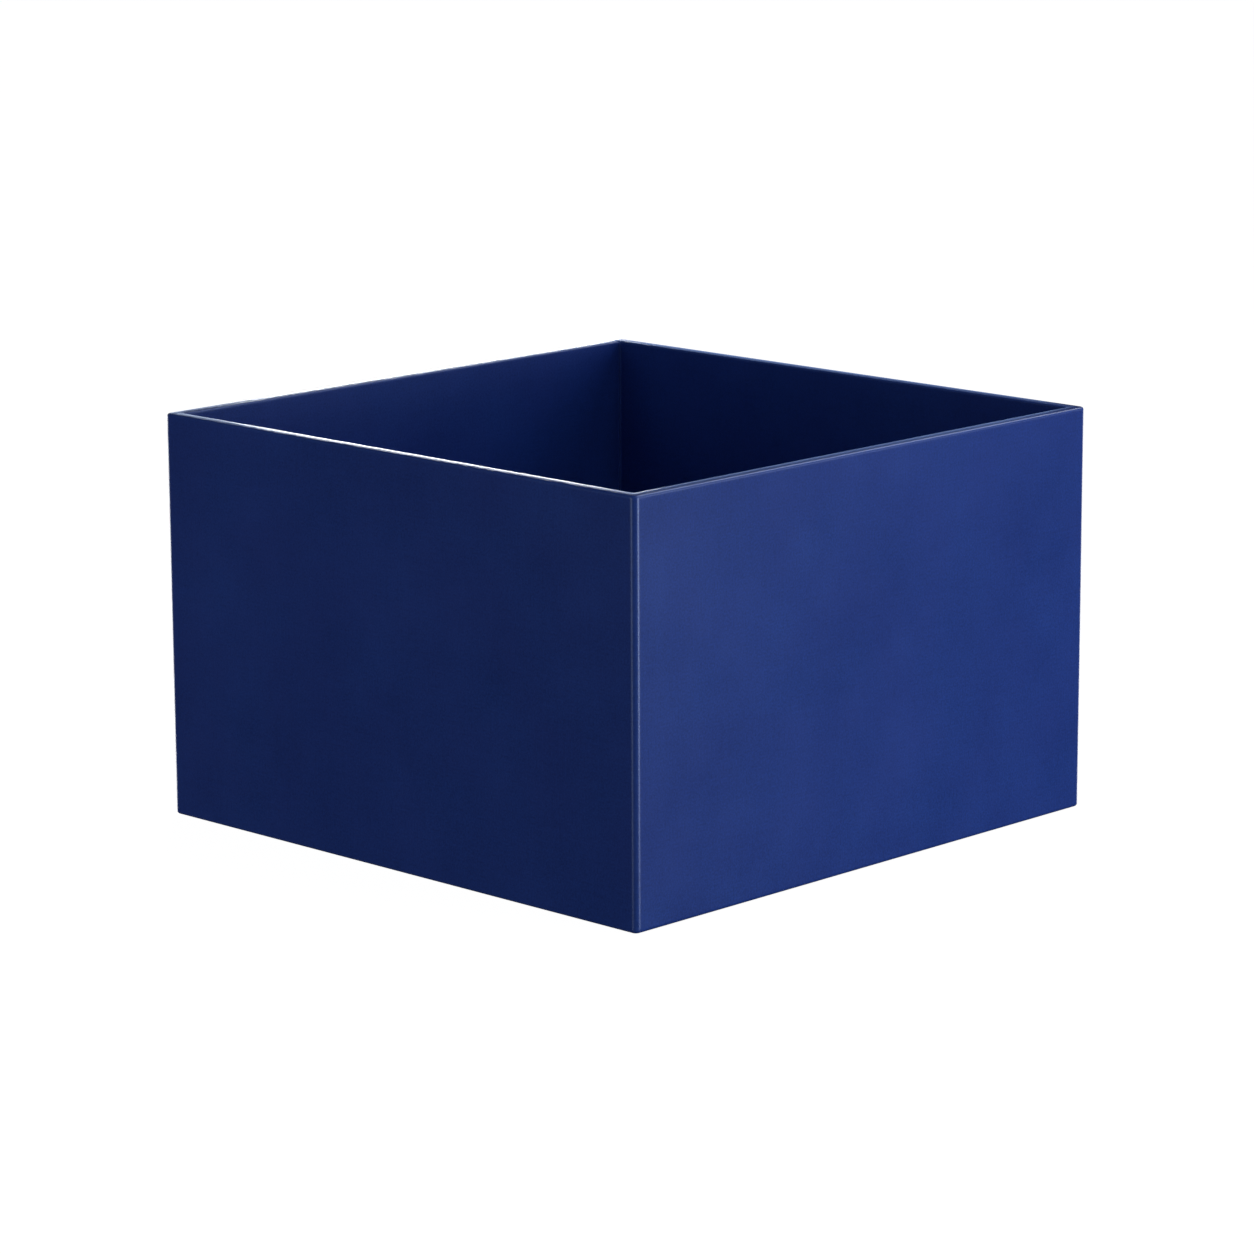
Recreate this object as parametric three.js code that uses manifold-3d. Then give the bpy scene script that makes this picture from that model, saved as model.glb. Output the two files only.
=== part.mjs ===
// Rigid fabric storage bin, open at the top. Four mitred wall boards and a base board are taped
// together along every joint. One sleeve of cloth covers the walls outside, over the rim and inside,
// and is turned under the base. A floor lining and a base cloth close the two cut edges, and a loose
// cloth-covered floor panel lifts out by its ribbon tab.
// Millimetres, +Z up, origin at the middle of the underside, front wall towards -Y.
import * as THREE from 'three';
import { mergeVertices } from 'three/addons/utils/BufferGeometryUtils.js';
import Module from 'manifold-3d';

const wasm = await Module();
wasm.setup();

// Overall sizes of the finished bin
const width = 280; // outside, along X
const depth = 280; // outside, along Y
const height = 178;
const cornerRadius = 2.8; // upright outer corners
const edgeRadius = 1.5; // outer edges along the rim and the base

// Thickness of the sheet materials
const wallBoard = 4;
const baseBoard = 3;
const sleeveCloth = 0.8;
const floorLining = 1.2; // card with cloth on it
const baseCloth = 0.6;
const stayTape = 0.2;

// How the sheets are joined
const glueLine = 0.1; // between any two bonded sheets
const sleeveTurnUnder = 18; // sleeve turned under the base, measured from the outside
const baseClothInset = 6;
const stayLeg = 14;

// Loose floor panel
const panelClearance = 1.5; // to the sleeve, all round
const panelRestGap = 0.1;
const panelBoard = 2;
const panelCloth = 0.6;
const panelBacking = 0.4;
const panelTurnUnder = 14;
const panelBackingInset = 5;
const panelCornerRadius = 1.2;

// Ribbon tab on the floor panel, folded double
const tabWidth = 20;
const tabLength = 55;
const tabThickness = 1.2;
const tabFromEdge = 12;

const arcSegments = 4;
const edgeSegments = 3;
const quarterTurn = Math.PI / 2;
const cutPast = 1; // how far a cutting solid runs past the face it opens

// Half sizes in plan, from the outside inwards
const inset = (plan, by) => ({ x: plan.x - by, y: plan.y - by });
const tapeSpace = stayTape + 2 * glueLine;
const outside = { x: width / 2, y: depth / 2 };
const boardSpace = inset(outside, sleeveCloth);
const boardOuter = inset(boardSpace, glueLine);
const boardInner = inset(boardOuter, wallBoard);
const tapeOuter = inset(boardInner, glueLine);
const linerOuter = inset(boardInner, tapeSpace); // the sleeve's inner layer
const linerInner = inset(linerOuter, sleeveCloth);
const panelEdge = inset(linerInner, panelClearance);

// Levels, from the underside upwards
const sleeveBottom = baseCloth + glueLine;
const boardBottom = sleeveBottom + sleeveCloth + glueLine;
const baseTop = boardBottom + baseBoard;
const tapeBottom = baseTop + glueLine;
const linerBottom = baseTop + tapeSpace;
const floorTop = linerBottom + floorLining;
const panelBottom = floorTop + panelRestGap;
const panelClothBottom = panelBottom + panelBacking + glueLine;
const panelBoardBottom = panelClothBottom + panelCloth + glueLine;
const panelBoardTop = panelBoardBottom + panelBoard;
const panelTop = panelBoardTop + glueLine + panelCloth;
const tabBottom = panelTop + glueLine;
const boardTop = height - sleeveCloth - glueLine;

const finish = (color, roughness) => new THREE.MeshStandardMaterial({ color, roughness, metalness: 0 });
const sleeveNavy = () => finish(0x1b2a63, 0.5);
const liningNavy = () => finish(0x18265c, 0.6);
const greyboard = () => finish(0x8f8a80, 0.9);
const brownTape = () => finish(0xa98a5f, 0.85);
const underNavy = () => finish(0x151d3d, 0.8);
const ribbonNavy = () => finish(0x1a2a5e, 0.55);

const shell = new THREE.Group();
const floorPanel = new THREE.Group();

// The four walls in order, each a quarter turn on from the one before.
const walls = [
  { side: 'front', along: 'x', out: (plan) => [0, -plan.y] },
  { side: 'right', along: 'y', out: (plan) => [plan.x, 0] },
  { side: 'back', along: 'x', out: (plan) => [0, plan.y] },
  { side: 'left', along: 'y', out: (plan) => [-plan.x, 0] },
];
const corners = [
  { at: 'front_left', x: -1, y: -1 },
  { at: 'front_right', x: 1, y: -1 },
  { at: 'back_right', x: 1, y: 1 },
  { at: 'back_left', x: -1, y: 1 },
];

function add(group, name, geometry, material) {
  const mesh = new THREE.Mesh(geometry, material);
  mesh.name = name;
  group.add(mesh);
  return mesh;
}

function rectangle(plan, radius) {
  const shape = new THREE.Shape();
  const x = plan.x - radius;
  const y = plan.y - radius;
  if (radius > 0) {
    shape.absarc(x, y, radius, 0, quarterTurn);
    shape.absarc(-x, y, radius, quarterTurn, 2 * quarterTurn);
    shape.absarc(-x, -y, radius, 2 * quarterTurn, 3 * quarterTurn);
    shape.absarc(x, -y, radius, 3 * quarterTurn, 4 * quarterTurn);
  } else {
    shape.moveTo(x, y);
    shape.lineTo(-x, y);
    shape.lineTo(-x, -y);
    shape.lineTo(x, -y);
  }
  return shape;
}

function extrude(shape, bottom, top) {
  const options = { depth: top - bottom, bevelEnabled: false, curveSegments: arcSegments };
  return new THREE.ExtrudeGeometry(shape, options).translate(0, 0, bottom);
}

const plate = (plan, radius, bottom, top) => extrude(rectangle(plan, radius), bottom, top);

// A plate whose top and bottom edges are rounded over.
function roundedPlate(plan, radius, edge, bottom, top) {
  const options = {
    depth: top - bottom - 2 * edge,
    bevelThickness: edge,
    bevelSize: edge,
    bevelOffset: -edge,
    bevelSegments: edgeSegments,
    curveSegments: arcSegments,
  };
  return new THREE.ExtrudeGeometry(rectangle(plan, radius), options).translate(0, 0, bottom + edge);
}

// An L in plan: two legs of tape that meet at the origin and run along +X and +Y.
function tapeAngle(leg) {
  const shape = new THREE.Shape();
  shape.moveTo(0, 0);
  shape.lineTo(leg, 0);
  shape.lineTo(leg, stayTape);
  shape.lineTo(stayTape, stayTape);
  shape.lineTo(stayTape, leg);
  shape.lineTo(0, leg);
  return shape;
}

// Closed geometry to a solid that can be joined and cut, and back.
function solid(geometry) {
  const bare = geometry.clone();
  bare.deleteAttribute('normal');
  bare.deleteAttribute('uv');
  const merged = mergeVertices(bare);
  return new wasm.Manifold(new wasm.Mesh({
    numProp: 3,
    vertProperties: new Float32Array(merged.attributes.position.array),
    triVerts: new Uint32Array(merged.index.array),
  }));
}

function geometryOf(body) {
  const mesh = body.getMesh();
  const geometry = new THREE.BufferGeometry();
  geometry.setAttribute('position', new THREE.BufferAttribute(mesh.vertProperties, 3));
  geometry.setIndex(new THREE.BufferAttribute(mesh.triVerts, 1));
  geometry.computeVertexNormals();
  return geometry;
}

// A wall board in plan, its outer face on the X axis and its body towards +Y. Both ends are mitred,
// and each carries half of a rounded corner.
function mitredBoard(halfLength, radius) {
  const halfGap = glueLine * Math.SQRT1_2;
  const end = halfLength - halfGap;
  const shape = new THREE.Shape();
  shape.moveTo(wallBoard - end, wallBoard);
  shape.lineTo(end - wallBoard, wallBoard);
  shape.absarc(end - radius, radius, radius, -quarterTurn / 2, -quarterTurn, true);
  shape.absarc(radius - end, radius, radius, -quarterTurn, -1.5 * quarterTurn, true);
  return extrude(shape, boardBottom, boardTop);
}

function addBoards() {
  const radius = cornerRadius - sleeveCloth - glueLine;
  walls.forEach((wall, turn) => {
    const board = mitredBoard(boardOuter[wall.along], radius);
    const mesh = add(shell, `wall_board_${wall.side}`, board, greyboard());
    mesh.rotation.z = turn * quarterTurn;
    mesh.position.set(...wall.out(boardOuter), 0);
  });
  add(shell, 'base_board', plate(inset(boardInner, glueLine), 0, boardBottom, baseTop), greyboard());
}

// Folded tape in each upright corner, from the base board to the top of the walls.
function addCornerStays() {
  corners.forEach((corner, turn) => {
    const tape = extrude(tapeAngle(stayLeg), tapeBottom, boardTop);
    const mesh = add(shell, `corner_stay_${corner.at}`, tape, brownTape());
    mesh.rotation.z = turn * quarterTurn;
    mesh.position.set(corner.x * tapeOuter.x, corner.y * tapeOuter.y, 0);
  });
}

// Folded tape where each wall meets the base board, between the corner stays.
function addBaseStays() {
  walls.forEach((wall, turn) => {
    const length = 2 * (tapeOuter[wall.along] - stayLeg - glueLine);
    const tape = extrude(tapeAngle(stayLeg), -length / 2, length / 2);
    tape.rotateX(quarterTurn).rotateZ(quarterTurn);
    const mesh = add(shell, `base_stay_${wall.side}`, tape, brownTape());
    mesh.rotation.z = turn * quarterTurn;
    mesh.position.set(...wall.out(tapeOuter), tapeBottom);
  });
}

// One sleeve of cloth: outside the walls, over the rim, down the inside, and turned under the base.
function addSleeve() {
  const radius = cornerRadius - sleeveCloth;
  const outer = solid(roundedPlate(outside, cornerRadius, edgeRadius, sleeveBottom, height));
  const wallSpace = solid(
    plate(boardSpace, radius, sleeveBottom + sleeveCloth, height - sleeveCloth),
  );
  const mouth = solid(plate(linerInner, 0, height - sleeveCloth - cutPast, height + cutPast));
  const underOpening = solid(
    plate(inset(outside, sleeveTurnUnder), 0, sleeveBottom - cutPast, boardBottom + cutPast),
  );
  const liner = solid(plate(linerOuter, 0, linerBottom, height - sleeveCloth / 2)).subtract(
    solid(plate(linerInner, 0, linerBottom - cutPast, height)),
  );
  const sleeve = outer.subtract(wallSpace).subtract(mouth).subtract(underOpening).add(liner);
  add(shell, 'cloth_sleeve', geometryOf(sleeve), sleeveNavy());
}

function addFloorLining() {
  const lining = plate(inset(linerInner, glueLine), 0, linerBottom, floorTop);
  add(shell, 'floor_lining', lining, liningNavy());
}

function addBaseCloth() {
  const cloth = plate(inset(outside, baseClothInset), cornerRadius, 0, baseCloth);
  add(shell, 'base_cloth', cloth, underNavy());
}

function addFloorPanel() {
  const backingEdge = inset(panelEdge, panelBackingInset);
  const backing = plate(backingEdge, panelCornerRadius, panelBottom, panelBottom + panelBacking);
  add(floorPanel, 'panel_backing', backing, underNavy());

  const boardEdge = inset(panelEdge, panelCloth + glueLine);
  const board = plate(boardEdge, 0, panelBoardBottom, panelBoardTop);
  add(floorPanel, 'panel_board', board, greyboard());

  const wrapSpace = inset(panelEdge, panelCloth);
  const wrap = solid(plate(panelEdge, panelCornerRadius, panelClothBottom, panelTop))
    .subtract(solid(plate(wrapSpace, 0, panelClothBottom + panelCloth, panelTop - panelCloth)))
    .subtract(solid(plate(inset(panelEdge, panelTurnUnder), 0, panelBottom, panelBoardTop)));
  add(floorPanel, 'panel_cover', geometryOf(wrap), liningNavy());
}

function addPullTab() {
  const tab = new THREE.BoxGeometry(tabWidth, tabLength, tabThickness);
  const mesh = add(floorPanel, 'pull_tab', tab, ribbonNavy());
  mesh.position.set(0, tabFromEdge + tabLength / 2 - panelEdge.y, tabBottom + tabThickness / 2);
}

addBoards();
addCornerStays();
addBaseStays();
addSleeve();
addFloorLining();
addBaseCloth();
addFloorPanel();
addPullTab();

const bin = new THREE.Group();
bin.add(shell, floorPanel);
export default bin;
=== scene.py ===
import math

import bpy
from mathutils import Matrix, Vector, noise


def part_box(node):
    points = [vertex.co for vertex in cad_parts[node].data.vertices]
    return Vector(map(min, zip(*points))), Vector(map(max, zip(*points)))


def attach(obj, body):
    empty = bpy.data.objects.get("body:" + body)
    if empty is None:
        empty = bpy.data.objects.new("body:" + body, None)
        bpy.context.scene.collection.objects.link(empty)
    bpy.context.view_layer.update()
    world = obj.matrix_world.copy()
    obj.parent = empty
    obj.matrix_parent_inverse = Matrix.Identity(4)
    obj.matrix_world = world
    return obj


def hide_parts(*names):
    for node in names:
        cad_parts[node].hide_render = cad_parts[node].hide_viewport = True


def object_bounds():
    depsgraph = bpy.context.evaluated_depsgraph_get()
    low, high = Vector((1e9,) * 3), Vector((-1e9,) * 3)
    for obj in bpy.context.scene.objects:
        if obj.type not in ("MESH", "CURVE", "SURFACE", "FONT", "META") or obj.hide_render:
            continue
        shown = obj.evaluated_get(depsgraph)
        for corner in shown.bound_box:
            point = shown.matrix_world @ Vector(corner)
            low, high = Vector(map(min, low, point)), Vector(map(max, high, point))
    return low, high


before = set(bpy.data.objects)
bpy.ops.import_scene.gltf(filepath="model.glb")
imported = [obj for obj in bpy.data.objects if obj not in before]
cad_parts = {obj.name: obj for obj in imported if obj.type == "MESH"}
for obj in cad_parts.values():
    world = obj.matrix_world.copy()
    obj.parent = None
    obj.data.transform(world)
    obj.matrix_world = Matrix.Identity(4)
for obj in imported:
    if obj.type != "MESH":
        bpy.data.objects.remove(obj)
cad_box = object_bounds()

MM = 0.001

# ---------------------------------------------------------------- sizes, from the frame
SLEEVE_LOW, SLEEVE_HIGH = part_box("cloth_sleeve")
LINING_LOW, LINING_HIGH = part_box("floor_lining")
BASE_CLOTH_LOW, BASE_CLOTH_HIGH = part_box("base_cloth")
BOARD_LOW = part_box("wall_board_front")[0]
PANEL_LOW, PANEL_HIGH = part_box("panel_cover")
BACKING_LOW, BACKING_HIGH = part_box("panel_backing")
TAB_LOW, TAB_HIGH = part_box("pull_tab")

GLUE = 0.1 * MM
CORNER = 2.8 * MM  # upright outer corners
INNER_CORNER = 1.3 * MM  # the cloth in the upright inner corners
CORNER_STEPS = 10
SIDE_STEPS = 36
TURN_UNDER = 18 * MM  # sleeve turned under the base
LAP = 12 * MM  # the sleeve's end glued over its start
LAP_STEP = 0.3 * MM
LAP_PROUD = 0.35 * MM
LAP_MARKS = {0: (LAP, LAP + LAP_STEP)}  # extra points beside the lap, on the left wall
PANEL_TURN_UNDER = 14 * MM
PANEL_CLOTH = 0.6 * MM
MITRE_DEPTH = 0.25 * MM
BASE_PRINT = 0.45 * MM  # how far the base cloth dips inside the turned-under edge
EASE = 0.6 * MM  # a short first step beside a rounded edge
FOOT_ROLL = 1.6 * MM  # the sleeve's roll round the foot of the wall
RIM_ROLL_OUT, RIM_ROLL_IN = 1.3 * MM, 0.9 * MM
RIM_LEAN_OUT, RIM_LEAN_IN = 5, 7  # degrees; where the flatter crown of the rim ends
WALL_STEPS = 24
DRIFT = 0.12 * MM  # how far a wall drifts from flat
SEAM_RIDGE = 0.5 * MM  # the joining seam in the back left inner corner
COATING_TINT = (0.55, 0.70, 1.0, 1)

HALF = Vector((SLEEVE_HIGH.x, SLEEVE_HIGH.y))
TOP = SLEEVE_HIGH.z
CLOTH = BOARD_LOW.y - SLEEVE_LOW.y - GLUE
WALL = SLEEVE_HIGH.x - LINING_HIGH.x - GLUE


# ---------------------------------------------------------------- meshes
class Section:
    """The rings of a sheet from one cut edge to the other: inset, height, edge lightening (rubbed wear,
    and a painted highlight on the rim and corners) and cloth length.
    """

    def __init__(self):
        self.rings = []
        self.length = 0.0

    def add(self, inset, z, wear_and_highlight=0.0):
        if self.rings:
            last = self.rings[-1]
            self.length += math.hypot(inset - last[0], z - last[1])
        self.rings.append((inset, z, wear_and_highlight, self.length))
        return self

    def arc(self, centre, radius, start, end, steps, wear_and_highlight=0.0):
        """Angles in degrees: -90 faces out, 0 faces up, 90 faces in and 180 faces down."""
        for i in range(steps + 1):
            turn = math.radians(start + (end - start) * i / steps)
            # edge lightening, rubbed wear and painted highlight, strongest mid-arc
            strength = wear_and_highlight * math.sin(math.pi * i / steps)
            self.add(centre[0] + radius * math.sin(turn), centre[1] + radius * math.cos(turn), strength)
        return self

    def run(self, inset, z, steps):
        """Straight on to a point, in equal steps."""
        inset_0, z_0 = self.rings[-1][:2]
        for i in range(1, steps + 1):
            self.add(inset_0 + (inset - inset_0) * i / steps, z_0 + (z - z_0) * i / steps)
        return self


def corner_radius(inset, outer, least):
    return max(outer - inset, least)


def side_stations(length, steps, marks=()):
    """Where the points along one straight side lie, close together at its ends and at any mark."""
    stations = [0.0, EASE]
    stations += [EASE + (length - 2 * EASE) * i / steps for i in range(1, steps)]
    stations += [length - EASE]
    stations = [s for s in stations if all(abs(s - mark) > EASE for mark in marks)]
    return sorted(stations + list(marks))


def ring(half, inset, z, radius, steps, corner_steps, marks):
    """Points round a rectangle with rounded corners, from the back left corner by way of the front."""
    hx = half.x - inset
    hy = half.y - inset
    points = []
    corners = [(-1, 1), (-1, -1), (1, -1), (1, 1)]
    ways = [(0, -1), (1, 0), (0, 1), (-1, 0)]
    start_angle = 90
    for side, ((cx, cy), (wx, wy)) in enumerate(zip(corners, ways)):
        centre = Vector((cx * (hx - radius), cy * (hy - radius)))
        for i in range(corner_steps):
            turn = math.radians(start_angle + 90 * i / corner_steps)
            at = centre + radius * Vector((math.cos(turn), math.sin(turn)))
            points.append((at.x, at.y, z))
        turn = math.radians(start_angle + 90)
        at = centre + radius * Vector((math.cos(turn), math.sin(turn)))
        span = 2 * ((hy if wy else hx) - radius)
        for s in side_stations(span, steps, marks.get(side, ())):
            points.append((at.x + wx * s, at.y + wy * s, z))
        start_angle += 90
    return points


def fill_flat(verts, faces, loop, per_side, z):
    """Fills a closed loop of points with quads. The loop has four equal sides of per_side steps."""
    n = per_side
    south = loop[:n + 1]
    east = loop[n:2 * n + 1]
    north = loop[2 * n:3 * n + 1][::-1]
    west = (loop[3 * n:] + loop[:1])[::-1]
    grid = [[None] * (n + 1) for _ in range(n + 1)]
    for i in range(n + 1):
        grid[i][0] = south[i]
        grid[i][n] = north[i]
        grid[0][i] = west[i]
        grid[n][i] = east[i]
    at = lambda k: Vector(verts[k])
    for i in range(1, n):
        for j in range(1, n):
            s = i / n
            t = j / n
            along = at(south[i]).lerp(at(north[i]), t)
            across = at(west[j]).lerp(at(east[j]), s)
            corners = at(south[0]).lerp(at(south[n]), s).lerp(at(north[0]).lerp(at(north[n]), s), t)
            point = along + across - corners
            point.z = z
            grid[i][j] = len(verts)
            verts.append(tuple(point))
    for i in range(n):
        for j in range(n):
            faces.append((grid[i][j], grid[i + 1][j], grid[i + 1][j + 1], grid[i][j + 1]))


def add_cut(mesh, uvs):
    """Where each corner lies on the flat cloth, in metres."""
    layer = mesh.uv_layers.new(name="cut")
    layer.data.foreach_set("uv", [c for face in uvs for pair in face for c in pair])


def sheet_mesh(name, half, section, outer_radius, least_radius, steps, corner_steps=10, closed=True,
               marks=None, corner_wear_and_highlight=0.0):
    """A sheet that runs round a rectangle. Where closed is false, both ends are filled flat."""
    marks = marks or {}
    verts, faces, wear_and_highlight = [], [], []
    count = 0
    for inset, z, ring_wear_and_highlight, length in section.rings:
        radius = corner_radius(inset, outer_radius, least_radius)
        points = ring(half, inset, z, radius, steps, corner_steps, marks)
        count = len(points)
        verts += points
        wear_and_highlight += ring_wear_and_highlight_round(points, half, inset, radius, ring_wear_and_highlight, corner_wear_and_highlight)
    rings = len(section.rings)
    outline = ring(half, 0, 0, outer_radius, steps, corner_steps, marks)
    around = [0.0]
    for i in range(1, count + 1):
        around.append(around[-1] + math.dist(outline[i - 1], outline[i % count]))
    uv_faces = []
    for r in range(rings if closed else rings - 1):
        r2 = (r + 1) % rings
        v1 = section.rings[r][3]
        v2 = section.rings[r2][3] if r2 else v1
        for i in range(count):
            j = (i + 1) % count
            faces.append((r * count + i, r * count + j, r2 * count + j, r2 * count + i))
            uv_faces.append(((around[i], v1), (around[i + 1], v1), (around[i + 1], v2), (around[i], v2)))
    if not closed:
        shift = corner_steps // 2
        for r, flip in ((0, True), (rings - 1, False)):
            loop = [r * count + (i + shift) % count for i in range(count)]
            made = []
            fill_flat(verts, made, loop, count // 4, section.rings[r][1])
            faces += [f[::-1] for f in made] if flip else made
            wear_and_highlight += [0.0] * (len(verts) - len(wear_and_highlight))
        for f in faces[len(uv_faces):]:
            uv_faces.append(tuple(verts[k][:2] for k in f))
    mesh = bpy.data.meshes.new(name)
    mesh.from_pydata(verts, [], faces)
    add_cut(mesh, uv_faces)
    worn_and_highlit = mesh.attributes.new("wear_and_highlight", "FLOAT", "POINT")
    worn_and_highlit.data.foreach_set("value", wear_and_highlight)
    return mesh


def ring_wear_and_highlight_round(points, half, inset, radius, ring_wear_and_highlight, corner_wear_and_highlight):
    """How much lighter each point of one ring is, as rubbed wear and as a painted highlight: along its
    edge, and more at the upright corners.
    """
    out = []
    for x, y, _ in points:
        over_x = abs(x) - (half.x - inset - radius)
        over_y = abs(y) - (half.y - inset - radius)
        on_corner = 0.0
        if over_x > 0 and over_y > 0:
            turn = math.atan2(over_y, over_x)
            on_corner = math.sin(2 * turn) * corner_wear_and_highlight
        out.append(max(ring_wear_and_highlight, on_corner))
    return out


def finish_mesh(name, mesh, body, material, sharp=35.0):
    mesh.validate()
    mesh.update()
    mesh.shade_smooth()
    mesh.set_sharp_from_angle(angle=math.radians(sharp))
    piece = bpy.data.objects.new(name, mesh)
    bpy.context.scene.collection.objects.link(piece)
    mesh.materials.append(material)
    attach(piece, body)
    return piece


# ---------------------------------------------------------------- materials
class Nodes:
    """A short way to build a node tree."""

    def __init__(self, tree):
        self.tree = tree
        tree.nodes.clear()

    def add(self, kind, values=None, **settings):
        made = self.tree.nodes.new(kind)
        for key, value in settings.items():
            setattr(made, key, value)
        for key, value in (values or {}).items():
            if isinstance(value, bpy.types.NodeSocket):
                self.tree.links.new(value, made.inputs[key])
            else:
                made.inputs[key].default_value = value
        return made

    def math(self, operation, a, b=0.0, c=0.0, clamp=False):
        made = self.add("ShaderNodeMath", {0: a, 1: b, 2: c}, operation=operation, use_clamp=clamp)
        return made.outputs[0]

    def noise(self, vector, scale, detail=2.0, rough=0.5):
        values = {"Vector": vector, "Scale": scale, "Detail": detail, "Roughness": rough}
        return self.add("ShaderNodeTexNoise", values).outputs["Fac"]

    def stretch(self, vector, scale):
        return self.add("ShaderNodeMapping", {"Vector": vector, "Scale": scale}).outputs[0]

    def spread(self, value, low, high, out_low=0.0, out_high=1.0):
        values = {0: value, 1: low, 2: high, 3: out_low, 4: out_high}
        return self.add("ShaderNodeMapRange", values).outputs[0]

    def mix(self, factor, a, b):
        made = self.add("ShaderNodeMix", {0: factor, 6: a, 7: b}, data_type="RGBA")
        return made.outputs[2]


def group(name, inputs, outputs):
    tree = bpy.data.node_groups.new(name, "ShaderNodeTree")
    for label, kind, value in inputs:
        socket = tree.interface.new_socket(label, in_out="INPUT", socket_type=kind)
        if value is not None:
            socket.default_value = value
    for label, kind in outputs:
        tree.interface.new_socket(label, in_out="OUTPUT", socket_type=kind)
    n = Nodes(tree)
    return tree, n, n.add("NodeGroupInput").outputs, n.add("NodeGroupOutput").inputs


FLOAT, VECTOR = "NodeSocketFloat", "NodeSocketVector"


def make_weave():
    """Plain weave from the cloth's own cut: height, and which threads run thick."""
    inputs = [("Cut", VECTOR, None), ("Pitch", FLOAT, 0.0005)]
    tree, n, given, out = group("plain weave", inputs, [("Height", FLOAT), ("Slub", FLOAT)])
    split = n.add("ShaderNodeSeparateXYZ", {0: given["Cut"]}).outputs
    across = n.math("DIVIDE", n.math("MULTIPLY", split[0], math.pi), given["Pitch"])
    along = n.math("DIVIDE", n.math("MULTIPLY", split[1], math.pi), given["Pitch"])
    wave_x = n.math("SINE", across)
    wave_y = n.math("SINE", along)
    over = n.math("MULTIPLY_ADD", n.math("MULTIPLY", wave_x, wave_y), 0.8, 0.5, clamp=True)
    warp = n.math("MULTIPLY", n.math("ABSOLUTE", wave_x), over)
    weft = n.math("MULTIPLY", n.math("ABSOLUTE", wave_y), n.math("SUBTRACT", 1.0, over))
    n.tree.links.new(n.math("MAXIMUM", warp, weft), out["Height"])
    thick_warp = n.noise(n.stretch(given["Cut"], (900.0, 40.0, 1.0)), 1.0, 1.0)
    thick_weft = n.noise(n.stretch(given["Cut"], (40.0, 900.0, 1.0)), 1.0, 1.0)
    n.tree.links.new(n.math("MULTIPLY", n.math("ADD", thick_warp, thick_weft), 0.5), out["Slub"])
    return tree


def make_mottle():
    """Soft clouds in a dyed surface, the drift of its hue, and the fine grain on it."""
    outputs = [("Cloud", FLOAT), ("Hue", FLOAT), ("Grain", FLOAT)]
    tree, n, given, out = group("mottle", [("Place", VECTOR, None)], outputs)
    wide = n.noise(given["Place"], 14.0, 2.0, 0.5)
    near = n.noise(given["Place"], 45.0, 2.0, 0.5)
    cloud = n.math("MULTIPLY_ADD", near, 0.4, n.math("MULTIPLY", wide, 0.6))
    n.tree.links.new(cloud, out["Cloud"])
    n.tree.links.new(n.spread(n.noise(given["Place"], 32.0, 2.0, 0.5), 0.2, 0.8), out["Hue"])
    fine = n.noise(given["Place"], 1150.0, 1.0, 0.5)
    fleck = n.noise(given["Place"], 300.0, 2.0, 0.5)
    n.tree.links.new(n.math("MULTIPLY_ADD", fleck, 0.18, n.math("MULTIPLY", fine, 0.82)), out["Grain"])
    return tree


def make_edge_wear_and_highlight():
    """Lighter colour along the edges, partly rubbed wear and partly a painted highlight, broken up so
    that it isn't an even line.
    """
    inputs = [("Wear and highlight", FLOAT, 0.0), ("Place", VECTOR, None)]
    tree, n, given, out = group("edge wear and highlight", inputs, [("Worn and highlit", FLOAT)])
    patch = n.spread(n.noise(given["Place"], 60.0, 4.0, 0.6), 0.3, 0.7, 0.55, 1.0)
    n.tree.links.new(n.math("MULTIPLY", given["Wear and highlight"], patch, clamp=True), out["Worn and highlit"])
    return tree


def new_material(name):
    made = bpy.data.materials.new(name)
    made.use_nodes = True
    return made, Nodes(made.node_tree)


def surface(n, values):
    """Ends a material with one shader."""
    shader = n.add("ShaderNodeBsdfPrincipled", values)
    out = n.add("ShaderNodeOutputMaterial")
    n.tree.links.new(shader.outputs[0], out.inputs[0])


WEAVE = make_weave()
MOTTLE = make_mottle()
EDGE_WEAR_AND_HIGHLIGHT = make_edge_wear_and_highlight()


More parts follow.
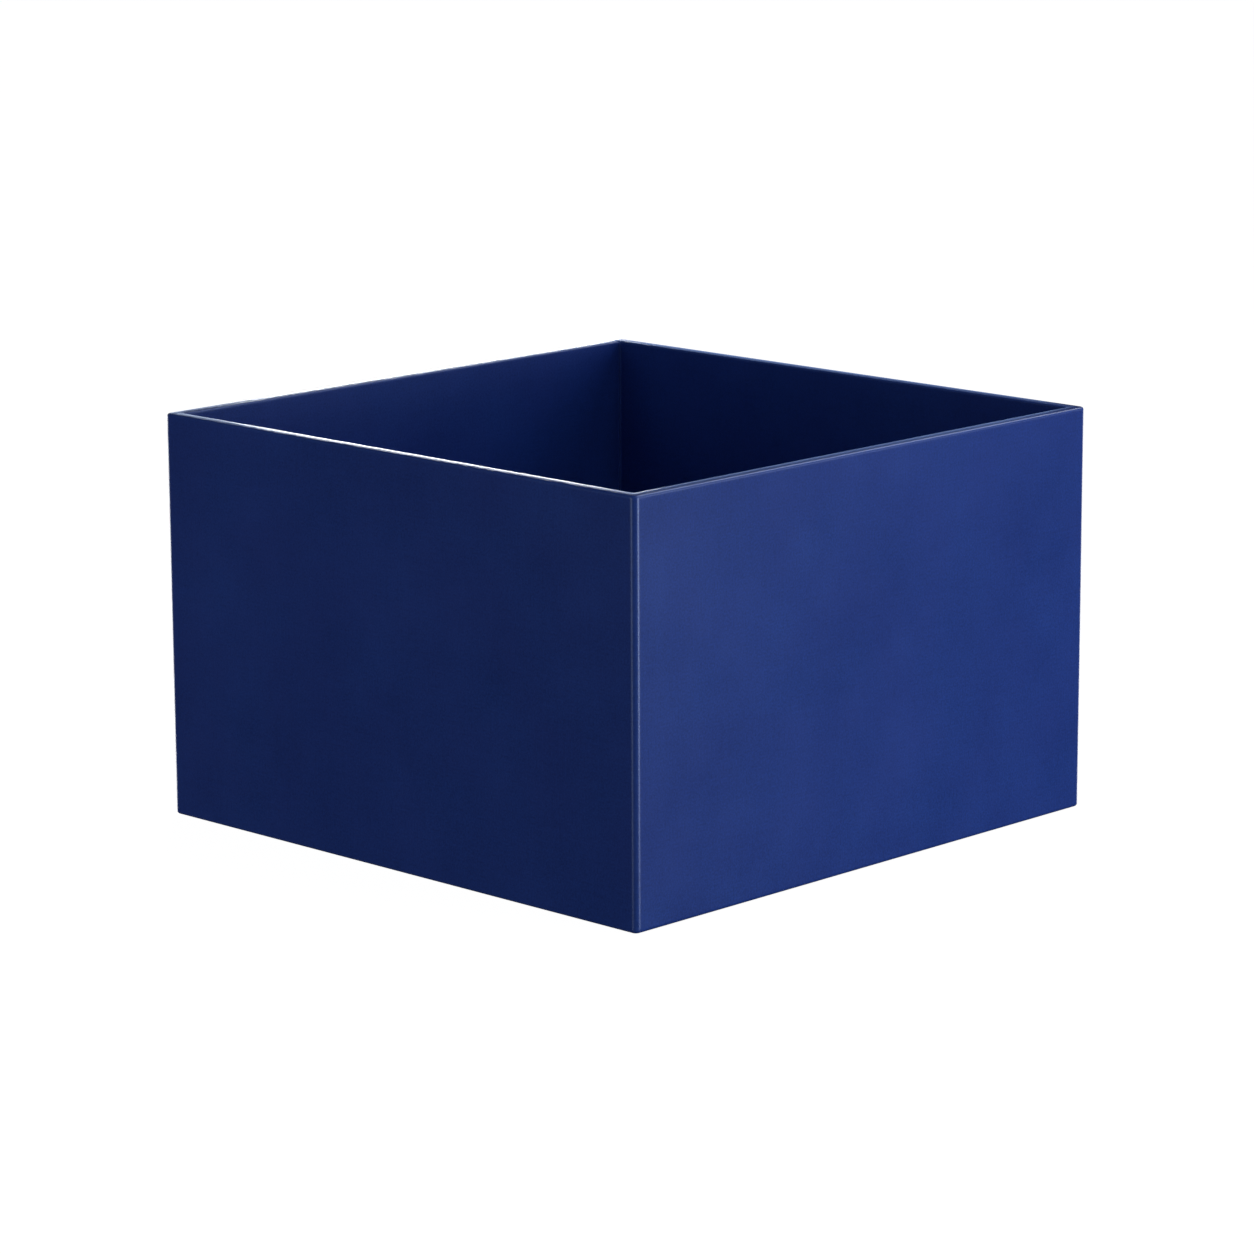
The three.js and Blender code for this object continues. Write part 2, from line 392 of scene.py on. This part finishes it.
def cloth_material(name, dark, light, cast, worn_and_highlit, pitch, rough, bump, sheen=0.0):
    """Dyed cloth: clouded colour, woven thread and grain, lighter along its edges as rubbed wear and as
    a painted highlight.
    """
    made, n = new_material(name)
    place = n.add("ShaderNodeTexCoord").outputs["Object"]
    cut = n.add("ShaderNodeUVMap", uv_map="cut").outputs[0]
    wear_and_highlight = n.add("ShaderNodeAttribute", attribute_name="wear_and_highlight").outputs["Fac"]
    weave = n.add("ShaderNodeGroup", node_tree=WEAVE)
    n.tree.links.new(cut, weave.inputs["Cut"])
    weave.inputs["Pitch"].default_value = pitch
    mottle = n.add("ShaderNodeGroup", node_tree=MOTTLE)
    n.tree.links.new(place, mottle.inputs["Place"])
    edge = n.add("ShaderNodeGroup", node_tree=EDGE_WEAR_AND_HIGHLIGHT)
    n.tree.links.new(wear_and_highlight, edge.inputs["Wear and highlight"])
    n.tree.links.new(place, edge.inputs["Place"])
    cloud = mottle.outputs["Cloud"]
    grain = mottle.outputs["Grain"]
    tone = n.math("MULTIPLY_ADD", weave.outputs["Slub"], 0.35, n.math("MULTIPLY", cloud, 0.65))
    tone = n.spread(tone, 0.2, 0.8)
    tone = n.math("MULTIPLY_ADD", n.math("SUBTRACT", weave.outputs["Height"], 0.5), 0.1, tone)
    tone = n.math("MULTIPLY_ADD", n.math("SUBTRACT", grain, 0.5), 2.2, tone, clamp=True)
    colour = n.mix(tone, dark, light)
    colour = n.mix(n.math("MULTIPLY", mottle.outputs["Hue"], 0.3), colour, cast)
    # edges lighter in colour: rubbed wear, and a painted highlight on the rim rolls and upright corners
    colour = n.mix(n.math("MULTIPLY", edge.outputs["Worn and highlit"], 0.35), colour, worn_and_highlit)
    roughness = n.math("MULTIPLY_ADD", n.math("SUBTRACT", cloud, 0.5), 0.1, rough)
    height = n.math("MULTIPLY_ADD", grain, 0.5, weave.outputs["Height"])
    height = n.math("MULTIPLY_ADD", weave.outputs["Slub"], 0.8, height)
    bumped = n.add("ShaderNodeBump", {"Height": height, "Distance": bump, "Strength": 0.6})
    surface(n, {
        "Base Color": colour,
        "Roughness": roughness,
        "Normal": bumped.outputs[0],
        "Specular Tint": COATING_TINT,
        "Sheen Weight": sheen,
        "Sheen Roughness": 0.4,
    })
    return made


NAVY = cloth_material(
    "sleeve cloth", (0.0056, 0.0235, 0.152, 1), (0.0130, 0.0460, 0.266, 1),
    (0.018, 0.030, 0.200, 1), (0.040, 0.085, 0.300, 1), pitch=0.45 * MM, rough=0.31, bump=0.012 * MM)
LINING = cloth_material(
    "lining cloth", (0.0056, 0.0225, 0.145, 1), (0.0130, 0.0440, 0.252, 1),
    (0.018, 0.030, 0.190, 1), (0.040, 0.085, 0.300, 1), pitch=0.45 * MM, rough=0.42, bump=0.016 * MM)
UNDER = cloth_material(
    "base cloth", (0.0050, 0.0090, 0.028, 1), (0.0110, 0.0175, 0.048, 1),
    (0.012, 0.012, 0.040, 1), (0.020, 0.030, 0.070, 1), pitch=0.8 * MM, rough=0.8, bump=0.1 * MM)


def thread_material():
    """Twisted sewing thread: two plies that wind round each other."""
    made, n = new_material("sewing thread")
    cut = n.add("ShaderNodeUVMap", uv_map="cut").outputs[0]
    split = n.add("ShaderNodeSeparateXYZ", {0: cut}).outputs
    turn = n.math("MULTIPLY_ADD", split[0], 5600.0, n.math("MULTIPLY", split[1], 5200.0))
    ply = n.math("ABSOLUTE", n.math("SINE", turn))
    place = n.add("ShaderNodeTexCoord").outputs["Object"]
    fibre = n.noise(n.stretch(place, (9000.0, 9000.0, 9000.0)), 1.0, 2.0)
    tone = n.math("MULTIPLY_ADD", fibre, 0.4, n.math("MULTIPLY", ply, 0.6))
    colour = n.mix(tone, (0.008, 0.022, 0.12, 1), (0.03, 0.075, 0.34, 1))
    rough = n.math("MULTIPLY_ADD", ply, -0.15, 0.5)
    bumped = n.add("ShaderNodeBump", {"Height": tone, "Distance": 0.05 * MM, "Strength": 0.8})
    surface(n, {"Base Color": colour, "Roughness": rough, "Normal": bumped.outputs[0]})
    return made


def greyboard_material():
    """Grey board of recycled fibre: flecks, faint layers and a dull face."""
    made, n = new_material("greyboard")
    place = n.add("ShaderNodeTexCoord").outputs["Object"]
    pulp = n.noise(place, 260.0, 4.0, 0.65)
    fleck = n.spread(n.noise(place, 1400.0, 1.0), 0.68, 0.74)
    layer = n.noise(n.stretch(place, (500.0, 500.0, 3000.0)), 1.0, 1.0)
    tone = n.math("MULTIPLY_ADD", layer, 0.3, n.math("MULTIPLY", pulp, 0.7))
    colour = n.mix(n.spread(tone, 0.3, 0.7), (0.17, 0.155, 0.135, 1), (0.34, 0.315, 0.28, 1))
    colour = n.mix(n.math("MULTIPLY", fleck, 0.6), colour, (0.06, 0.06, 0.07, 1))
    rough = n.spread(pulp, 0.3, 0.7, 0.82, 0.95)
    bumped = n.add("ShaderNodeBump", {"Height": tone, "Distance": 0.08 * MM, "Strength": 0.5})
    surface(n, {"Base Color": colour, "Roughness": rough, "Normal": bumped.outputs[0]})
    return made


def tape_material():
    """Brown gummed paper tape: long fibres and a slight glaze."""
    made, n = new_material("stay tape")
    place = n.add("ShaderNodeTexCoord").outputs["Object"]
    fibre = n.noise(n.stretch(place, (1500.0, 1500.0, 180.0)), 1.0, 3.0, 0.6)
    wide = n.noise(place, 90.0, 3.0, 0.6)
    tone = n.math("MULTIPLY_ADD", wide, 0.4, n.math("MULTIPLY", fibre, 0.6))
    colour = n.mix(n.spread(tone, 0.3, 0.7), (0.20, 0.115, 0.055, 1), (0.36, 0.22, 0.115, 1))
    rough = n.spread(fibre, 0.3, 0.7, 0.5, 0.72)
    bumped = n.add("ShaderNodeBump", {"Height": fibre, "Distance": 0.04 * MM, "Strength": 0.5})
    surface(n, {"Base Color": colour, "Roughness": rough, "Normal": bumped.outputs[0]})
    return made


SEWING_THREAD = thread_material()
GREYBOARD = greyboard_material()
STAY_TAPE = tape_material()
RIBBON = cloth_material(
    "ribbon", (0.0090, 0.0310, 0.185, 1), (0.0190, 0.0580, 0.300, 1),
    (0.022, 0.040, 0.230, 1), (0.050, 0.090, 0.330, 1), pitch=0.6 * MM, rough=0.45, bump=0.12 * MM,
    sheen=0.1)


# ---------------------------------------------------------------- the sleeve
def smooth(low, high, value):
    share = min(1.0, max(0.0, (value - low) / (high - low)))
    return share * share * (3 - 2 * share)


def sleeve_section():
    """From the cut edge under the base, up the outside, over the rim and down the inside."""
    s = Section()
    low = SLEEVE_LOW.z
    edge = FOOT_ROLL
    s.add(TURN_UNDER, low)
    s.run(edge + EASE, low, 5)
    s.arc((edge, low + edge), edge, 180, 270, 8, wear_and_highlight=0.5)
    s.add(0, low + edge + EASE)
    outer, inner = RIM_ROLL_OUT, RIM_ROLL_IN
    lean_out, lean_in = RIM_LEAN_OUT, RIM_LEAN_IN
    sin_out, sin_in = math.sin(math.radians(lean_out)), math.sin(math.radians(lean_in))
    cos_out, cos_in = math.cos(math.radians(lean_out)), math.cos(math.radians(lean_in))
    crown = (WALL - outer * (1 - sin_out) - inner * (1 - sin_in)) / (sin_out + sin_in)
    middle = (outer * (1 - sin_out) + crown * sin_out, TOP - crown)
    outer_centre = (outer, middle[1] + (crown - outer) * cos_out)
    inner_centre = (WALL - inner, middle[1] + (crown - inner) * cos_in)
    s.run(0, outer_centre[1] - EASE, WALL_STEPS)
    # both rim rolls are painted lighter: rubbed wear and a painted highlight
    s.arc(outer_centre, outer, -90, -lean_out, 8, wear_and_highlight=1.0)
    s.arc(middle, crown, -lean_out, lean_in, 6)
    s.arc(inner_centre, inner, lean_in, 90, 7, wear_and_highlight=1.0)
    s.add(WALL, inner_centre[1] - EASE)
    s.run(WALL, LINING_LOW.z + 0.3 * MM, WALL_STEPS)
    s.add(WALL - 0.15 * MM, LINING_LOW.z)
    s.shown = len(s.rings)
    s.add(WALL - CLOTH + 0.15 * MM, LINING_LOW.z)
    s.add(WALL - CLOTH, LINING_LOW.z + 0.3 * MM)
    s.run(WALL - CLOTH, TOP - CLOTH - 1.0 * MM, 4)
    s.add(WALL - CLOTH - 0.3 * MM, TOP - CLOTH - 0.2 * MM)
    s.add(CLOTH + 0.4 * MM, TOP - CLOTH - 0.2 * MM)
    s.add(CLOTH, TOP - CLOTH - 1.0 * MM)
    s.run(CLOTH, low + CLOTH + 0.3 * MM, 4)
    s.add(CLOTH + 0.3 * MM, low + CLOTH)
    s.add(TURN_UNDER, low + CLOTH)
    return s


def lap_rise(station, z):
    """How proud the glued lap stands, down the left wall beside the back left corner."""
    skived = 1 - smooth(TOP - 14 * MM, TOP - 4 * MM, z)
    return LAP_PROUD * skived * (1 - smooth(LAP, LAP + LAP_STEP, station))


def corner_middles(first_side):
    """The ring's four points that lie on its diagonals."""
    plain = len(side_stations(2 * (HALF.y - CORNER), SIDE_STEPS))
    at = [CORNER_STEPS // 2]
    at.append(at[0] + CORNER_STEPS + len(first_side))
    at.append(at[1] + CORNER_STEPS + plain)
    at.append(at[2] + CORNER_STEPS + plain)
    return at


def shape_sleeve(mesh, section, count):
    """The small things that hand-glued cloth shows: lap, corner joint, mitres and slight waves."""
    low = SLEEVE_LOW.z
    span = 2 * (HALF.y - CORNER)
    stations = side_stations(span, SIDE_STEPS, LAP_MARKS[0])
    mitres = corner_middles(stations)
    normals = [v.normal.copy() for v in mesh.vertices]
    wear_and_highlight = mesh.attributes["wear_and_highlight"].data
    for vertex in mesh.vertices[:section.shown * count]:
        r, i = divmod(vertex.index, count)
        inset, z = section.rings[r][:2]
        normal = normals[vertex.index]
        on_wall = smooth(low + 2 * MM, low + 12 * MM, z) * (1 - smooth(TOP - 12 * MM, TOP - 3 * MM, z))
        rise = DRIFT * on_wall * noise.noise(vertex.co * 11)
        first_side = CORNER_STEPS <= i < CORNER_STEPS + len(stations)
        if inset < 2 * MM and z < TOP - 1 * MM or z < low + 0.01 * MM:
            if i < CORNER_STEPS:
                rise += lap_rise(0, z) * smooth(0, CORNER_STEPS, i)
            elif first_side:
                station = stations[i - CORNER_STEPS]
                rise += lap_rise(station, z)
                if abs(station - LAP) < LAP_STEP:
                    wear_and_highlight[vertex.index].value = 0.8
        if inset > WALL - 1 * MM and z < TOP - 1 * MM and i < CORNER_STEPS:
            rise += SEAM_RIDGE * math.exp(-((i - CORNER_STEPS / 2) / 1.4) ** 2)
        vertex.co += normal * rise
        if z < low + 0.01 * MM and inset > 2.5 * MM and i in mitres:
            vertex.co.z += MITRE_DEPTH
    mesh.update()


def make_sleeve():
    section = sleeve_section()
    # the upright corners are painted lighter: rubbed wear and a painted highlight
    mesh = sheet_mesh("sleeve", HALF, section, CORNER, INNER_CORNER, SIDE_STEPS, CORNER_STEPS,
                      marks=LAP_MARKS, corner_wear_and_highlight=1.0)
    mesh.update()
    shape_sleeve(mesh, section, len(mesh.vertices) // len(section.rings))
    piece = finish_mesh("sleeve", mesh, "bin", NAVY)
    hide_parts("cloth_sleeve")


# ---------------------------------------------------------------- flat cloth pieces
def plate_section(low, high, edge):
    """A flat sheet with softly rounded edges, from the middle of its underside to that of its top."""
    s = Section()
    s.add(edge * 2.4, low)
    s.add(edge * 1.2, low)
    s.arc((edge, low + edge), edge, 180, 270, 4)
    s.arc((edge, high - edge), edge, -90, 0, 4, wear_and_highlight=0.6)
    s.add(edge * 1.2, high)
    s.add(edge * 2.4, high)
    return s


def base_cloth_section(low, high, edge):
    """The base cloth, which dips where the turned-under edge of the sleeve ends above it."""
    step = TURN_UNDER - (HALF.x - BASE_CLOTH_HIGH.x)
    s = Section()
    s.add(step + 4 * MM, low + BASE_PRINT)
    s.add(step + 1.5 * MM, low + BASE_PRINT * 0.92)
    s.add(step + 0.5 * MM, low + BASE_PRINT * 0.5)
    s.add(step - 0.5 * MM, low)
    s.run(edge * 1.4, low, 3)
    s.arc((edge, low + edge), edge, 180, 270, 4)
    s.arc((edge, high - edge), edge, -90, 0, 4)
    s.add(edge * 1.4, high)
    s.run(step - 0.5 * MM, high, 3)
    s.add(step + 0.5 * MM, high + BASE_PRINT * 0.5)
    s.add(step + 1.5 * MM, high + BASE_PRINT * 0.92)
    s.add(step + 4 * MM, high + BASE_PRINT)
    return s


def cover_section(low, high, edge):
    """The floor panel's cloth: over the top, round the edges and turned under the board."""
    top = high - PANEL_CLOTH
    under = low + PANEL_CLOTH
    s = Section()
    s.add(edge * 3, top)
    s.add(PANEL_CLOTH + 0.3 * MM, top)
    s.add(PANEL_CLOTH, top - 0.3 * MM)
    s.add(PANEL_CLOTH, under + 0.3 * MM)
    s.add(PANEL_CLOTH + 0.3 * MM, under)
    s.run(PANEL_TURN_UNDER, under, 3)
    s.add(PANEL_TURN_UNDER, low)
    s.run(edge + 0.4 * MM, low, 4)
    s.arc((edge, low + edge), edge, 180, 270, 7, wear_and_highlight=0.4)
    s.arc((edge, high - edge), edge, -90, 0, 8, wear_and_highlight=1.0)
    s.add(edge + 0.4 * MM, high)
    s.add(edge * 3, high)
    return s


def flat_piece(name, node, body, material, section, radius, least):
    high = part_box(node)[1]
    half = Vector((high.x, high.y))
    mesh = sheet_mesh(name, half, section, radius, least, SIDE_STEPS, 8, closed=False,
                      corner_wear_and_highlight=0.7)
    piece = finish_mesh(name, mesh, body, material)
    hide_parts(node)
    return piece, (2 * half.x, 2 * half.y)


def make_floor_lining():
    section = plate_section(LINING_LOW.z, LINING_HIGH.z, 0.4 * MM)
    piece, flat = flat_piece("floor_lining_cloth", "floor_lining", "bin", LINING,
                             section, 0.9 * MM, 0.4 * MM)


def make_base_cloth():
    section = base_cloth_section(BASE_CLOTH_LOW.z, BASE_CLOTH_HIGH.z, 0.25 * MM)
    piece, flat = flat_piece("base_cloth_sheet", "base_cloth", "bin", UNDER,
                             section, CORNER, 1.0 * MM)


def make_panel_cover():
    section = cover_section(PANEL_LOW.z, PANEL_HIGH.z, 1.1 * MM)
    piece, flat = flat_piece("floor_panel_cover", "panel_cover", "floor_panel", LINING,
                             section, 1.8 * MM, 1.0 * MM)


def make_panel_backing():
    section = plate_section(BACKING_LOW.z, BACKING_HIGH.z, 0.18 * MM)
    piece, flat = flat_piece("floor_panel_backing", "panel_backing", "floor_panel", UNDER,
                             section, 1.2 * MM, 0.4 * MM)


# ---------------------------------------------------------------- pull tab
RIBBON_THICK = 0.55 * MM
TAB_LIFT = 5.5 * MM  # how far the fold end stands off the panel
FOLD_RADIUS = 1.5 * MM
STITCH_LENGTH = 2.4 * MM
THREAD = 0.36 * MM
TAB_STEPS = 24
FOLD_STEPS = 12
SELVEDGE = 0.8 * MM  # from the ribbon's edge to its thick line


def tab_rise(t):
    """How far the ribbon stands off the panel, from its sewn end at 0 to its fold at 1."""
    return TAB_LIFT * smooth(0.35, 1.25, t) * 1.6 * t


def tab_path():
    """The ribbon's middle line as (y, z): out from its sewn end, round the fold, and back."""
    lower = TAB_LOW.z + RIBBON_THICK / 2
    free = TAB_HIGH.y - FOLD_RADIUS
    sewn = TAB_LOW.y
    length = free - sewn
    out = []
    for i in range(TAB_STEPS + 1):
        t = i / TAB_STEPS
        out.append((sewn + length * t, lower + tab_rise(t)))
    y, z = out[-1]
    slope = math.atan2(z - out[-2][1], y - out[-2][0])
    for i in range(1, FOLD_STEPS):
        turn = math.pi * i / FOLD_STEPS
        ahead = FOLD_RADIUS * math.sin(turn)
        above = FOLD_RADIUS * (1 - math.cos(turn))
        out.append((y + ahead * math.cos(slope) - above * math.sin(slope),
                    z + ahead * math.sin(slope) + above * math.cos(slope)))
    gap = 2 * FOLD_RADIUS
    close = RIBBON_THICK * 1.06
    for i in range(TAB_STEPS + 1):
        t = 1 - i / TAB_STEPS * 0.985
        y, z = sewn + length * t, lower + tab_rise(t)
        out.append((y, z + close + (gap - close) * smooth(0.55, 1.0, t)))
    return out


def ribbon_mesh(name, path, width, across=14):
    """A woven ribbon along a path in the y-z plane, a little thicker along its two selvedges."""
    verts, faces, uvs = [], [], []
    run = [0.0]
    for a, b in zip(path, path[1:]):
        run.append(run[-1] + math.dist(a, b))
    ring_size = 2 * (across + 1)
    for k, (y, z) in enumerate(path):
        a, b = path[max(k - 1, 0)], path[min(k + 1, len(path) - 1)]
        length = math.dist(a, b)
        up = (-(b[1] - a[1]) / length, (b[0] - a[0]) / length)
        for side in (1, -1):
            for i in range(across + 1):
                share = i / across if side == 1 else 1 - i / across
                from_edge = min(share, 1 - share) * width
                thick = 0.86 + 0.3 * math.exp(-((from_edge - SELVEDGE) / (0.6 * MM)) ** 2)
                half = RIBBON_THICK / 2 * thick
                half *= 0.35 if from_edge < 0.01 * MM else 1.0
                verts.append(((share - 0.5) * width, y + up[0] * half * side, z + up[1] * half * side))
    for k in range(len(path) - 1):
        for i in range(ring_size):
            j = (i + 1) % ring_size
            a, b = k * ring_size, (k + 1) * ring_size
            faces.append((a + i, b + i, b + j, a + j))
            shares = [n / across if n <= across else (ring_size - 1 - n) / across for n in (i, j)]
            u1, u2 = (share * width for share in shares)
            uvs.append(((u1, run[k]), (u1, run[k + 1]), (u2, run[k + 1]), (u2, run[k])))
    last = (len(path) - 1) * ring_size
    faces.append(tuple(range(ring_size)))
    faces.append(tuple(last + i for i in range(ring_size))[::-1])
    uvs += [tuple((verts[v][0], 0.0) for v in face) for face in faces[-2:]]
    mesh = bpy.data.meshes.new(name)
    mesh.from_pydata(verts, [], faces)
    add_cut(mesh, uvs)
    return mesh, run[-1]


def make_pull_tab():
    path = tab_path()
    width = TAB_HIGH.x - TAB_LOW.x
    mesh, length = ribbon_mesh("pull_ribbon", path, width)
    mesh.attributes.new("wear_and_highlight", "FLOAT", "POINT")
    piece = finish_mesh("pull_ribbon", mesh, "floor_panel", RIBBON, sharp=60)
    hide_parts("pull_tab")
    stitches = make_stitches()


def stitch_line(start, end):
    """The starts and ends of the stitches along one row of sewing."""
    start, end = Vector(start), Vector(end)
    count = round((end - start).length / (STITCH_LENGTH * 1.18))
    step = (end - start) / count
    for i in range(count):
        middle = start + step * (i + 0.5)
        half = step.normalized() * STITCH_LENGTH / 2
        yield middle - half, middle + half


def add_stitch(verts, faces, uvs, start, end, z):
    """One stitch of thread: up out of the ribbon, along it and down into it again."""
    way = (end - start).normalized()
    side = Vector((-way.y, way.x))
    rings, sides = 9, 8
    first = len(verts)
    for k in range(rings):
        t = k / (rings - 1)
        at = start.lerp(end, t)
        arch = math.sin(math.pi * t) ** 0.6
        thick = THREAD / 2 * (0.8 + 0.2 * arch)
        for m in range(sides):
            turn = 2 * math.pi * m / sides
            across = side * (thick * math.cos(turn))
            height = z + THREAD * 0.55 * (arch - 0.75) + thick * math.sin(turn)
            verts.append((at.x + across.x, at.y + across.y, height))
    for k in range(rings - 1):
        for m in range(sides):
            n = (m + 1) % sides
            a, b = first + k * sides, first + (k + 1) * sides
            faces.append((a + m, a + n, b + n, b + m))
            v1, v2 = (STITCH_LENGTH * j / (rings - 1) for j in (k, k + 1))
            u1, u2 = (THREAD * math.pi * j / sides for j in (m, m + 1))
            uvs.append(((u1, v1), (u2, v1), (u2, v2), (u1, v2)))
    last = first + (rings - 1) * sides
    for loop in (tuple(first + m for m in range(sides))[::-1], tuple(last + m for m in range(sides))):
        faces.append(loop)
        uvs.append(tuple((0.0, 0.0) for _ in loop))


def make_stitches():
    """A sewn box with a cross in it, through the tab's fixed end."""
    z = TAB_LOW.z + RIBBON_THICK * 2.1 + THREAD * 0.1
    left, right = TAB_LOW.x + 2.4 * MM, TAB_HIGH.x - 2.4 * MM
    near, far = TAB_LOW.y + 3.0 * MM, TAB_LOW.y + 15.0 * MM
    rows = [((left, near), (right, near)), ((right, near), (right, far)), ((right, far), (left, far)),
            ((left, far), (left, near)), ((left, near), (right, far)), ((right, near), (left, far))]
    verts, faces, uvs = [], [], []
    for row in rows:
        for start, end in stitch_line(*row):
            add_stitch(verts, faces, uvs, start, end, z)
    mesh = bpy.data.meshes.new("tab_stitches")
    mesh.from_pydata(verts, [], faces)
    add_cut(mesh, uvs)
    piece = finish_mesh("tab_stitches", mesh, "floor_panel", SEWING_THREAD, sharp=60)
    return piece


# ---------------------------------------------------------------- boards and tape
def finish_boards():
    """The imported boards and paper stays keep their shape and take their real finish."""
    for name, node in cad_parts.items():
        finish = GREYBOARD if "board" in name else STAY_TAPE if "stay" in name else None
        if finish:
            for material_slot in node.material_slots:
                material_slot.material = finish


# ---------------------------------------------------------------- camera, lights and floor
def look(obj, target, roll=0.0):
    way = (obj.location - Vector(target)).normalized()
    side = Vector((0, 0, 1)).cross(way).normalized()
    up = way.cross(side)
    turn = Matrix((side, up, way)).transposed()
    obj.rotation_euler = (turn @ Matrix.Rotation(math.radians(roll), 3, "Z")).to_euler()


CAMERA_TURN, CAMERA_HEIGHT, CAMERA_ROLL = 44.109, 12.400, -0.249  # degrees
CAMERA_DISTANCE = 2.0681  # metres
CAMERA_TARGET = 82.44 * MM  # height of the point it looks at
CAMERA_LENS = 136.89  # mm, on a 36 mm sensor


def make_camera():
    azimuth, elevation = math.radians(CAMERA_TURN), math.radians(CAMERA_HEIGHT)
    away = Vector((
        math.sin(azimuth) * math.cos(elevation),
        -math.cos(azimuth) * math.cos(elevation),
        math.sin(elevation),
    ))
    target = Vector((0, 0, CAMERA_TARGET))
    data = bpy.data.cameras.new("camera")
    camera = bpy.data.objects.new("camera", data)
    bpy.context.scene.collection.objects.link(camera)
    camera.location = target + away * CAMERA_DISTANCE
    look(camera, target, roll=CAMERA_ROLL)
    data.sensor_width = 36
    data.lens = CAMERA_LENS
    bpy.context.scene.camera = camera


def make_light(name, at, target, size, power, colour=(1, 1, 1)):
    data = bpy.data.lights.new(name, "AREA")
    data.shape = "RECTANGLE"
    data.size, data.size_y = size
    data.energy = power
    data.color = colour
    light = bpy.data.objects.new(name, data)
    bpy.context.scene.collection.objects.link(light)
    light.location = at
    look(light, target)
    light.visible_camera = False


def make_softbox(name, turn, height, distance, size, power):
    """turn is the angle round the bin from its right side, towards its back, and height the angle up."""
    centre = Vector((0, 0, TOP / 2))
    turn, height = math.radians(turn), math.radians(height)
    flat = math.cos(height)
    way = Vector((math.cos(turn) * flat, math.sin(turn) * flat, math.sin(height)))
    make_light(name, centre + way * distance, centre, size, power)


def make_lights():
    make_softbox("front low", -89, -6, 2.2, (0.28, 0.8), 5.0)
    make_softbox("front", -100, 14, 1.2, (0.5, 0.5), 2.3)
    make_softbox("right low", 16, -5, 2.2, (0.46, 0.8), 21)
    make_softbox("right", 30, 13, 1.5, (0.8, 0.6), 5.2)
    make_softbox("right high", 8, 46, 0.9, (0.4, 0.4), 1.5)
    make_softbox("back high", 84, 46, 1.4, (0.6, 0.6), 5.5)
    make_softbox("left back low", 178, -10, 2.2, (0.9, 0.9), 12)
    make_softbox("back low", 95, -10, 2.2, (0.9, 0.9), 8)
    rim = Vector((0, 0, TOP))
    make_light("rim panel left", (-0.460, 0.323, TOP + 0.030), rim + Vector((0.025, -0.19, 0)),
               (0.194, 0.085), 1.03, colour=(0.92, 0.95, 1.0))
    make_light("rim panel far left", (-0.554, 0.235, TOP + 0.050), rim + Vector((-0.12, -0.14, 0)),
               (0.08, 0.09), 0.08, colour=(0.6, 0.75, 1.0))
    make_light("rim panel right", (-0.300, 0.470, TOP + 0.045), rim + Vector((0.14, 0, 0)),
               (0.24, 0.12), 0.16, colour=(0.35, 0.55, 1.0))


def make_stage():
    mesh = bpy.data.meshes.new("floor")
    reach, sides = 12.0, 96
    rim = [(reach * math.cos(a), reach * math.sin(a), 0) for a in
           (2 * math.pi * i / sides for i in range(sides))]
    mesh.from_pydata(rim, [], [tuple(range(sides))])
    floor = bpy.data.objects.new("floor", mesh)
    bpy.context.scene.collection.objects.link(floor)
    floor.location.z = cad_box[0][2] - 0.0001
    made = bpy.data.materials.new("floor")
    made.use_nodes = True
    n = Nodes(made.node_tree)
    lit = n.add("ShaderNodeBsdfDiffuse", {"Color": (0.12, 0.12, 0.12, 1)})
    place = n.add("ShaderNodeTexCoord").outputs["Object"]
    away = n.add("ShaderNodeVectorMath", {0: place}, operation="LENGTH").outputs["Value"]
    glow = n.spread(away, 0.2, 0.5, 0.985, 1.0)
    glow = n.add("ShaderNodeEmission", {"Color": (1, 1, 1, 1), "Strength": glow})
    seen = n.add("ShaderNodeAddShader", {0: lit.outputs[0], 1: glow.outputs[0]})
    out = n.add("ShaderNodeOutputMaterial")
    n.tree.links.new(seen.outputs[0], out.inputs[0])
    mesh.materials.append(made)
    floor.visible_diffuse = floor.visible_glossy = floor.visible_shadow = False


def make_world():
    world = bpy.data.worlds.new("studio")
    bpy.context.scene.world = world
    world.use_nodes = True
    n = Nodes(world.node_tree)
    seen = n.add("ShaderNodeBackground", {"Color": (1, 1, 1, 1), "Strength": 1.0})
    dim = n.add("ShaderNodeBackground", {"Color": (0.9, 0.95, 1, 1), "Strength": 0.05})
    ray = n.add("ShaderNodeLightPath").outputs["Is Camera Ray"]
    mixed = n.add("ShaderNodeMixShader", {0: ray, 1: dim.outputs[0], 2: seen.outputs[0]})
    out = n.add("ShaderNodeOutputWorld")
    n.tree.links.new(mixed.outputs[0], out.inputs[0])


make_camera()
make_world()
make_stage()
make_lights()
bpy.context.scene.view_settings.view_transform = "Standard"

make_sleeve()
make_floor_lining()
make_base_cloth()
make_panel_cover()
make_panel_backing()
make_pull_tab()
finish_boards()
